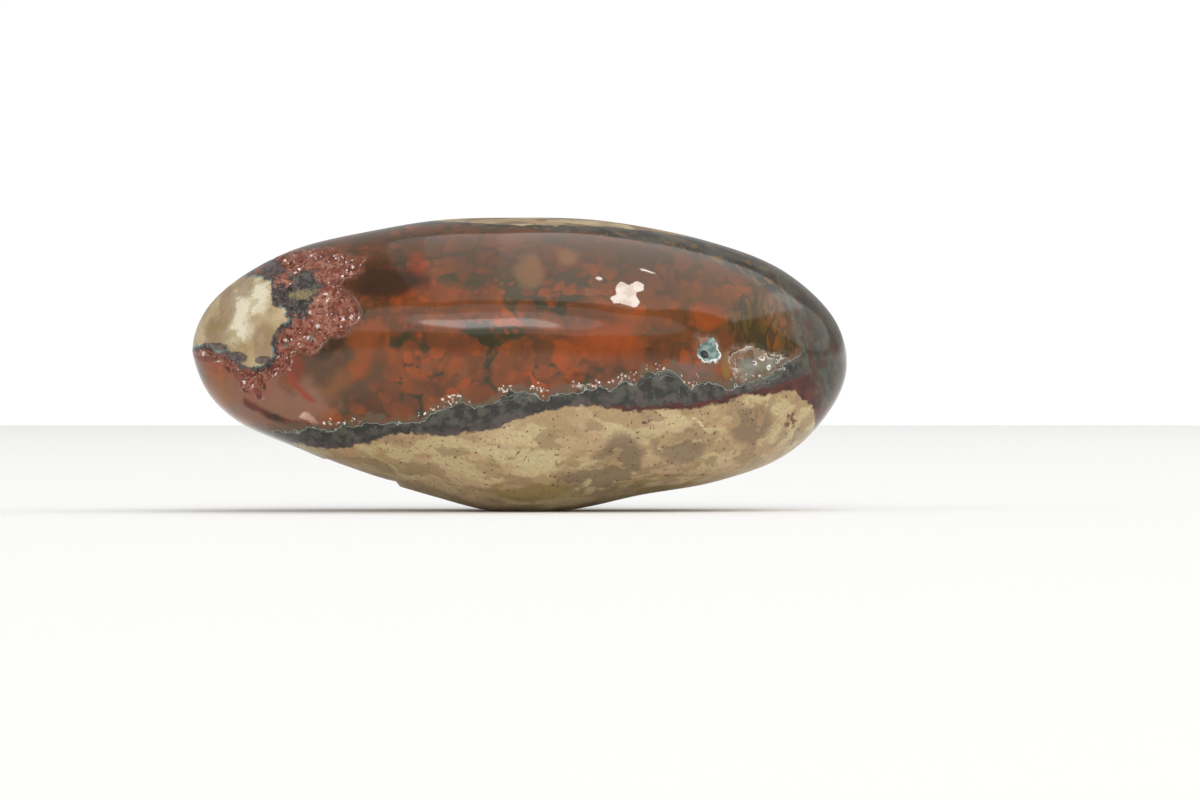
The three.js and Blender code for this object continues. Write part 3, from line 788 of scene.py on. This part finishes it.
def paintAgate(skin):
    look = agateLook
    loose = wandered(place, 0.35, 0.09)
    cell = addNode(tree, "ShaderNodeTexVoronoi", {"Vector": loose, "Scale": 1 / look["cellSize"]})
    chance = addNode(tree, "ShaderNodeSeparateColor", {0: cell.node.outputs["Color"]})
    fan = dict(colour=addNode(tree, "ShaderNodeValToRGB", {"Fac": chance}, stops=look["cells"]))
    skins = addNode(tree, "ShaderNodeTexVoronoi", {"Vector": loose, "Scale": 1 / look["cellSize"]},
                    feature="DISTANCE_TO_EDGE")
    layOver(fan, [noiseMask(0.3, 0.5, 0.62, detail=5.0), 0.8], colour=look["ochre"])
    layOver(fan, [edgeMask(skins, 0.03, -0.03), noiseMask(0.35, 0.5, 0.6), 0.7], colour=look["skin"])
    layOver(fan, [edgeMask(ragged("fanGreen", 0.8), 0.2, 0.3), 0.75], colour=look["green"])
    inFan = ragged("agateFan", 0.3, 0.25)
    layOver(skin, [edgeMask(inFan, 0.0, 0.09), 0.85], roughness=look["roughness"], **fan)
    layOver(skin, [lineMask(inFan, 0.05, 0.022), noiseMask(0.4, 0.4, 0.5), 0.7], colour=look["skin"])
    rings = addNode(tree, "ShaderNodeTexVoronoi", {"Vector": loose, "Scale": 1 / look["ringSize"]})
    layOver(skin, [lineMask(rings, 0.34, 0.06), edgeMask(field["ringSpot"], 0.15, 0.2), 0.9],
            colour=look["ring"])
    lump = dict(colour=look["lump"], roughness=look["roughness"])
    layOver(lump, [noiseMask(0.16, 0.42, 0.6, detail=5.0)], colour=look["lumpPale"])
    layOver(lump, [edgeMask(ragged("lumpTip", 0.5), 0.2, 0.2)], colour=look["lumpTip"])
    layOver(lump, [edgeMask(ragged("lumpSpot", 0.6), 0.1, 0.2)], colour=look["lumpDark"])
    inLump = ragged("agateLump", 0.25, 0.2)
    layOver(skin, [edgeMask(inLump, -0.1, 0.09), 0.55], colour=look["lumpHalo"])
    layOver(skin, [edgeMask(inLump, 0.0, 0.03)], **lump)
    layOver(skin, [lineMask(inLump, 0.02, 0.022), edgeMask(field["lumpEdge"], 0.0, 0.2),
                   noiseMask(0.25, 0.36, 0.46)], colour=look["ring"])


# The thin end is dark iron-rich chalcedony, with soft upright bands where it meets the opal.
endLook = dict(
    bands=[(0.0, "#5A462A"), (0.1, "#585A4C"), (0.2, "#42362C"), (0.32, "#4A4E40"), (0.45, "#36322A"),
           (1.0, "#443E32")],
    red="#522418", green="#4E5444", brown="#5A462C", roughness=0.1,
)


def paintDarkEnd(skin):
    look = endLook
    edge = ragged("darkEnd", 0.5, 0.15)
    end = dict(colour=addNode(tree, "ShaderNodeValToRGB", {"Fac": edge}, stops=look["bands"]),
               roughness=look["roughness"])
    layOver(end, [noiseMask(0.5, 0.5, 0.64, stretch=(0.5, 1, 1.6), detail=5.0), 0.7],
            colour=look["red"])
    layOver(end, [noiseMask(0.3, 0.54, 0.66, detail=6.0), 0.6], colour=look["green"])
    layOver(end, [noiseMask(0.45, 0.54, 0.64, detail=6.0), 0.6], colour=look["brown"])
    layOver(skin, [edgeMask(edge, 0.05, 0.2)], **end)


# Small white spots, matt and with crisp ragged edges, lie level with the surface of the opal.
whiteSpotLook = dict(white="#D8C4B4", pale="#EADCD0", roughness=0.45)


def paintWhiteSpots(skin):
    whiteSpot = dict(colour=whiteSpotLook["white"], roughness=whiteSpotLook["roughness"])
    layOver(whiteSpot, [noiseMask(0.3, 0.4, 0.6)], colour=whiteSpotLook["pale"])
    for name in ("whiteSpot", "whiteStroke", "whiteDot"):
        layOver(skin, [edgeMask(ragged(name, 0.08, 0.08), 0.0, 0.018)], **whiteSpot)


skin = paintOpal()
paintTop(skin)
paintAgate(skin)
paintHollow(skin)
paintCream(skin)
paintSeam(skin)
paintDarkEnd(skin)
paintRock(skin, edgeMask(ragged("redLow", 0.1, 0.18), 0.0, 0.04))
paintWhiteSpots(skin)
normal = addNode(tree, "ShaderNodeBump", {"Height": skin["relief"], "Strength": 1.0, "Distance": mm})
shader = addNode(tree, "ShaderNodeBsdfPrincipled", {
    "Base Color": skin["colour"], "Roughness": skin["roughness"], "Normal": normal, "IOR": 1.45})
addNode(tree, "ShaderNodeOutputMaterial", {"Surface": shader})
stonePiece.data.materials.clear()
stonePiece.data.materials.append(stoneMaterial)
print("the stone is painted")


# Quartz points grow from the hollow's floor, with a salmon tint, and their flat faces glint; the palest
# few are painted near white as glints.
# Heights and how far they are sunk go by each point's radius and height, and jitter is in millimetres.
frost = dict(
    count=260, radius=(0.025, 0.085), flat=0.45, tall=(1.2, 2.6), lean=1.6, sunk=0.5, jitter=0.05,
    edge=-0.02, seed=11,
    tipEnd=-7.1, tipEdge=0.12,  # in the hollow's narrow left tip they keep further from its edge
    darkEdge=0.05,  # and they stay out of its dark patch
    # the palest tints at the top of the ramp are painted glints
    tints=[(0.0, "#743828"), (0.4, "#8C4A3A"), (0.7, "#A46654"), (0.9, "#B88472"), (0.95, "#F0DED4"),
           (1.0, "#FFF6F0")],
)
# Over the seam they are tiny and nearly colourless.
whiteFrost = dict(
    count=130, radius=(0.018, 0.055), flat=0.6, tall=(1.0, 2.2), lean=1.4, sunk=0.3, jitter=0.05,
    above=0.2, seed=23, tints=[(0.0, "#A08472"), (0.5, "#D8C4B4"), (1.0, "#FFFAF4")],
)


def modelPoint(sides=6, shaft=0.6):  # one quartz point, 2 wide and 1 tall, standing on the origin
    deselectAll()
    bpy.ops.mesh.primitive_cylinder_add(vertices=sides, radius=1, depth=shaft, end_fill_type="NGON",
                                        location=(0, 0, shaft / 2))
    point = bpy.context.object
    bpy.ops.object.transform_apply(location=True, rotation=False, scale=False)
    bpy.ops.object.mode_set(mode="EDIT")
    bpy.ops.mesh.select_all(action="DESELECT")
    bpy.ops.object.mode_set(mode="OBJECT")
    for face in point.data.polygons:
        face.select = face.normal.z > 0.9
    bpy.ops.object.mode_set(mode="EDIT")
    bpy.ops.mesh.extrude_region_move(TRANSFORM_OT_translate={"value": (0, 0, 1 - shaft)})
    bpy.ops.mesh.merge(type="CENTER")
    bpy.ops.object.mode_set(mode="OBJECT")
    return point


def growPoints(name, spots, look, material):  # spots are indices of the stone's vertices
    chance = random.Random(look["seed"])
    first = modelPoint()
    copies = []
    for _ in range(look["count"]):
        spot = chance.choice(spots)
        normal = Vector(stoneNormals[spot])
        lean = Vector([chance.uniform(-1, 1) * look["lean"] for _ in range(3)])
        radius = chance.uniform(*look["radius"])
        tall = radius * chance.uniform(*look["tall"])
        jitter = Vector([chance.uniform(-look["jitter"], look["jitter"]) for _ in range(3)])
        copy = first.copy()
        copy.data = first.data.copy()
        bpy.context.scene.collection.objects.link(copy)
        turn = (normal + lean).to_track_quat("Z", "Y").to_matrix().to_4x4()
        spin = Matrix.Rotation(chance.uniform(0, math.pi), 4, "Z")
        size = Matrix.Diagonal((radius * mm, radius * look["flat"] * mm, tall * mm, 1))
        start = (Vector(places[spot]) + jitter - normal * tall * look["sunk"]) * mm
        copy.matrix_world = Matrix.Translation(start) @ turn @ spin @ size
        copies.append(copy)
    bpy.data.objects.remove(first)
    deselectAll()
    for copy in copies:
        copy.select_set(True)
    bpy.context.view_layer.objects.active = copies[0]
    bpy.ops.object.transform_apply(location=True, rotation=True, scale=True)
    bpy.ops.object.join()
    piece = bpy.context.object
    piece.name = name
    front = places[:, 1].min() * mm
    for corner in piece.data.vertices:  # ground off level with the stone's front
        corner.co.y = max(corner.co.y, front)
    piece.data.materials.append(material)
    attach(piece, "root")
    return piece


# Natural faces of quartz are smooth and glassy, and each point has one tint of its own.
quartzLook = dict(roughness=0.08, refraction=1.54)


def quartzMaterial(name, tints):
    material, tree = newMaterial(name)
    island = addNode(tree, "ShaderNodeNewGeometry", output="Random Per Island")
    tint = addNode(tree, "ShaderNodeValToRGB", {"Fac": island}, stops=tints)
    glass = addNode(tree, "ShaderNodeBsdfPrincipled", {
        "Base Color": tint, "Roughness": quartzLook["roughness"], "IOR": quartzLook["refraction"]})
    addNode(tree, "ShaderNodeOutputMaterial", {"Surface": glass})
    return material


stoneNormals = normalsOf(stonePiece)
deep = (fields["hollow"] > frost["edge"]) & (
    (x > frost["tipEnd"]) | (fields["hollow"] > frost["tipEdge"]))
deep = deep & (fields["hollowDark"] < frost["darkEdge"]) & (fields["cream"] < 0)
floorSpots = np.flatnonzero(deep & (y < 0)).tolist()
salmonQuartz = quartzMaterial("salmonQuartzPoints", frost["tints"])
growPoints("hollow_crystals", floorSpots, frost, salmonQuartz)
overSeam = (fields["seamTop"] > -whiteFrost["above"]) & (fields["seamTop"] < 0)
seamSpots = np.flatnonzero(overSeam & (fields["whiteQuartz"] > 0) & (y < 0)).tolist()
whiteQuartz = quartzMaterial("whiteQuartzPoints", whiteFrost["tints"])
growPoints("seam_crystals", seamSpots, whiteFrost, whiteQuartz)
print("the crystals have grown")


# Matt white paper under the stone, bright and without a sheen.
floorLook = dict(size=1300, colour="#F8F8F6", roughness=0.9)

deselectAll()
bpy.ops.mesh.primitive_plane_add(size=floorLook["size"] * mm)
floor = bpy.context.object
floor.name = "floor"
floorMaterial, tree = newMaterial("mattWhitePaper")
paper = addNode(tree, "ShaderNodeBsdfPrincipled", {
    "Base Color": floorLook["colour"], "Roughness": floorLook["roughness"]})
addNode(tree, "ShaderNodeOutputMaterial", {"Surface": paper})
floor.data.materials.append(floorMaterial)
floor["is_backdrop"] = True

# softboxes round the stone: how far round from the front and up from the ground each stands, in
# degrees, its distance, width and height in millimetres, and how bright it looks, where white paper
# is 1
softboxes = dict(
    window=dict(shape="ELLIPSE", turn=-1, lift=29.5, away=1450, width=2100, height=600, glow=0.85),
    windowMiddle=dict(shape="ELLIPSE", turn=0, lift=28, away=1400, width=900, height=330, glow=1.2),
    lamp=dict(shape="ELLIPSE", turn=-3, lift=25.8, away=1350, width=520, height=150, glow=4.0),
    rightSide=dict(shape="ELLIPSE", turn=100, lift=26, away=1500, width=1300, height=1000, glow=0.8),
    leftSide=dict(shape="RECTANGLE", turn=-66, lift=22, away=1500, width=475, height=583, glow=2.2),
)
# three sheets of light overhead end one after the other on the left, so their reflection fades out
# there, and each hangs a gap above the last, because lights in one plane are not all counted
overhead = dict(leftEnds=(-360, -220, -80), rightEnd=2120, height=2540, away=1500, gap=30, lift=85,
                glow=0.47)
for sheet, leftEnd in enumerate(overhead["leftEnds"]):
    softboxes["overhead" + str(sheet + 1)] = dict(
        shape="RECTANGLE", turn=0, lift=overhead["lift"],
        away=overhead["away"] + overhead["gap"] * sheet,
        width=overhead["rightEnd"] - leftEnd, height=overhead["height"],
        aside=(overhead["rightEnd"] + leftEnd) / 2,  # how far it is moved to the right
        glow=overhead["glow"])
for name, box in softboxes.items():
    lamp = bpy.data.lights.new(name, "AREA")
    lamp.shape = box["shape"]
    lamp.size, lamp.size_y = box["width"] * mm, box["height"] * mm
    fill = math.pi / 4 if box["shape"] == "ELLIPSE" else 1
    lamp.energy = box["glow"] * math.pi * lamp.size * lamp.size_y * fill
    lampObject = bpy.data.objects.new(name, lamp)
    bpy.context.scene.collection.objects.link(lampObject)
    turn, lift = math.radians(box["turn"]), math.radians(box["lift"])
    level = math.cos(lift)
    towards = Vector((math.sin(turn) * level, -math.cos(turn) * level, math.sin(lift)))
    lampObject.location = (towards * box["away"] + Vector((box.get("aside", 0), 0, 0))) * mm
    lampObject.rotation_euler = towards.to_track_quat("Z", "Y").to_euler()

# a white room up to just over the horizon, and dimmer above it
room = dict(low=1.02, high=0.42, dimFrom=0.06, dimTo=0.13)

world = bpy.data.worlds.new("pale_room")
world.use_nodes = True
tree = world.node_tree
tree.nodes.clear()
direction = addNode(tree, "ShaderNodeTexCoord", output="Generated")
height = addNode(tree, "ShaderNodeSeparateXYZ", {0: direction}, output="Z")
light = addNode(tree, "ShaderNodeMapRange", {
    "Value": height, "From Min": room["dimFrom"], "From Max": room["dimTo"],
    "To Min": room["low"], "To Max": room["high"]})
sky = addNode(tree, "ShaderNodeBackground", {"Color": "#FFFFFF", "Strength": light})
addNode(tree, "ShaderNodeOutputWorld", {"Surface": sky})
bpy.context.scene.world = world
bpy.context.scene.view_settings.view_transform = "Standard"
print("floor and light are set")

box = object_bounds()
